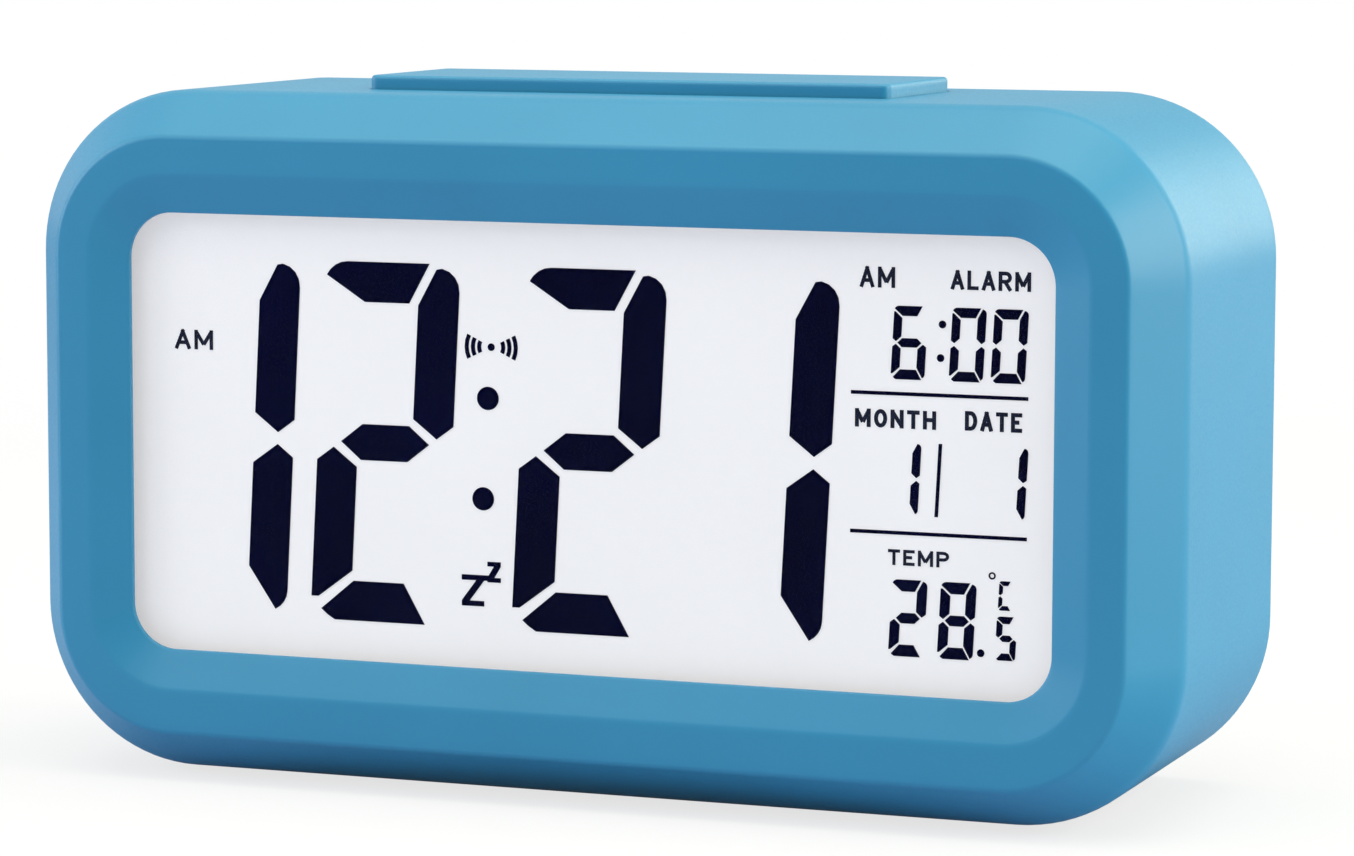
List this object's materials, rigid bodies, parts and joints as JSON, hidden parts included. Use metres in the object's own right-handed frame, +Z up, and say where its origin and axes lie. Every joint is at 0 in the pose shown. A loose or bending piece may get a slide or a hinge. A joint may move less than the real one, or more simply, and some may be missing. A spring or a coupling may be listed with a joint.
{
  "type": "digital alarm clock",
  "caption": "Blue digital table clock with rounded corners, wide chamfered front, large white display with time, alarm, date and temperature, and a snooze bar on top.",
  "frame": {"origin": "on the table, under the centre of the clock's box", "axes": "+X to the viewer's right, +Y from the display to the rear cover, +Z up"},
  "size_m": [0.135, 0.045, 0.0798],
  "materials": {
    "blue_plastic": "satin moulded plastic, mid blue",
    "foot_rubber": "matt dark grey rubber",
    "clear_plastic": "clear moulded acrylic, polished",
    "display_glass": "clear display glass",
    "display_ink": "dark navy strokes of the display",
    "white_film": "soft white reflecting film",
    "black_foam": "black adhesive foam",
    "white_plastic": "white moulded plastic",
    "contact_rubber": "striped contact rubber",
    "circuit_board": "green solder mask",
    "black_plastic": "black moulded plastic",
    "capacitor_sleeve": "dark blue shrink sleeve",
    "steel": "nickel plated steel",
    "cell_sleeve": "plain grey sleeve with bare ends",
    "bead_coating": "brown dipped resin",
    "brass": "plain brass sheet",
    "ceramic": "silvered ceramic layer",
    "cable_sheath": "pale grey ribbon",
    "wire_sheath": "black wire insulation"
  },
  "bodies": {
    "case": {"housing": "blue_plastic", "rear_cover": "blue_plastic", "foot_pads": "foot_rubber", "lens": "clear_plastic", "light_guide": "clear_plastic", "lcd_front_glass": "display_glass", "lcd_rear_glass": "display_glass", "front_polarizer": "display_glass", "lcd_segments": "display_ink", "rear_polarizer": "white_film", "lens_gasket": "black_foam", "lcd_holder": "white_plastic", "backlight_leds": "white_plastic", "zebra_strip": "contact_rubber", "main_board": "circuit_board", "backlight_board": "circuit_board", "snooze_board": "circuit_board", "key_board": "circuit_board", "clock_chip": "black_plastic", "resistors": "black_plastic", "slide_switch_body": "black_plastic", "capacitors": "capacitor_sleeve", "crystal": "steel", "board_screws": "steel", "snooze_board_screws": "steel", "case_screws": "steel", "key_board_screws": "steel", "snooze_switch": "steel", "key_switches": "steel", "snooze_springs": "steel", "contact_springs": "steel", "contact_plates": "steel", "battery_cells": "cell_sleeve", "thermistor": "bead_coating", "buzzer_disc": "brass", "buzzer_ceramic": "ceramic", "ribbon_cable": "cable_sheath", "battery_wires": "wire_sheath", "buzzer_wires": "wire_sheath", "snooze_wires": "wire_sheath"},
    "snooze": {"snooze_bar": "blue_plastic", "snooze_plunger": "black_plastic"},
    "alarm_slide": {"slide_knob": "black_plastic"},
    "door": {"battery_door": "blue_plastic"},
    "key_mode": {"mode_key": "blue_plastic", "mode_plunger": "black_plastic"},
    "key_set": {"set_key": "blue_plastic", "set_plunger": "black_plastic"},
    "key_up": {"up_key": "blue_plastic", "up_plunger": "black_plastic"},
    "key_down": {"down_key": "blue_plastic", "down_plunger": "black_plastic"},
    "key_alarm": {"alarm_key": "blue_plastic", "alarm_plunger": "black_plastic"}
  },
  "joints": [
    {"name": "snooze_press", "type": "slide", "parent": "case", "child": "snooze", "axis": [0, 0, -1], "range_m": [0, 0.001], "stiffness_N_per_m": 1500, "springref_m": -0.0005, "deforming": ["snooze_springs"]},
    {"name": "mode_key_press", "type": "slide", "parent": "case", "child": "key_mode", "axis": [0, -1, 0], "range_m": [0, 0.0006], "stiffness_N_per_m": 1500},
    {"name": "set_key_press", "type": "slide", "parent": "case", "child": "key_set", "axis": [0, -1, 0], "range_m": [0, 0.0006], "stiffness_N_per_m": 1500},
    {"name": "up_key_press", "type": "slide", "parent": "case", "child": "key_up", "axis": [0, -1, 0], "range_m": [0, 0.0006], "stiffness_N_per_m": 1500},
    {"name": "down_key_press", "type": "slide", "parent": "case", "child": "key_down", "axis": [0, -1, 0], "range_m": [0, 0.0006], "stiffness_N_per_m": 1500},
    {"name": "alarm_key_press", "type": "slide", "parent": "case", "child": "key_alarm", "axis": [0, -1, 0], "range_m": [0, 0.0006], "stiffness_N_per_m": 1500},
    {"name": "alarm_slide_travel", "type": "slide", "parent": "case", "child": "alarm_slide", "axis": [1, 0, 0], "range_m": [0, 0.003]},
    {"name": "battery_door_hinge", "type": "hinge", "parent": "case", "child": "door", "pos_m": [0, 0.021, 0.00965], "axis": [-1, 0, 0], "range_deg": [0, 60]}
  ]
}
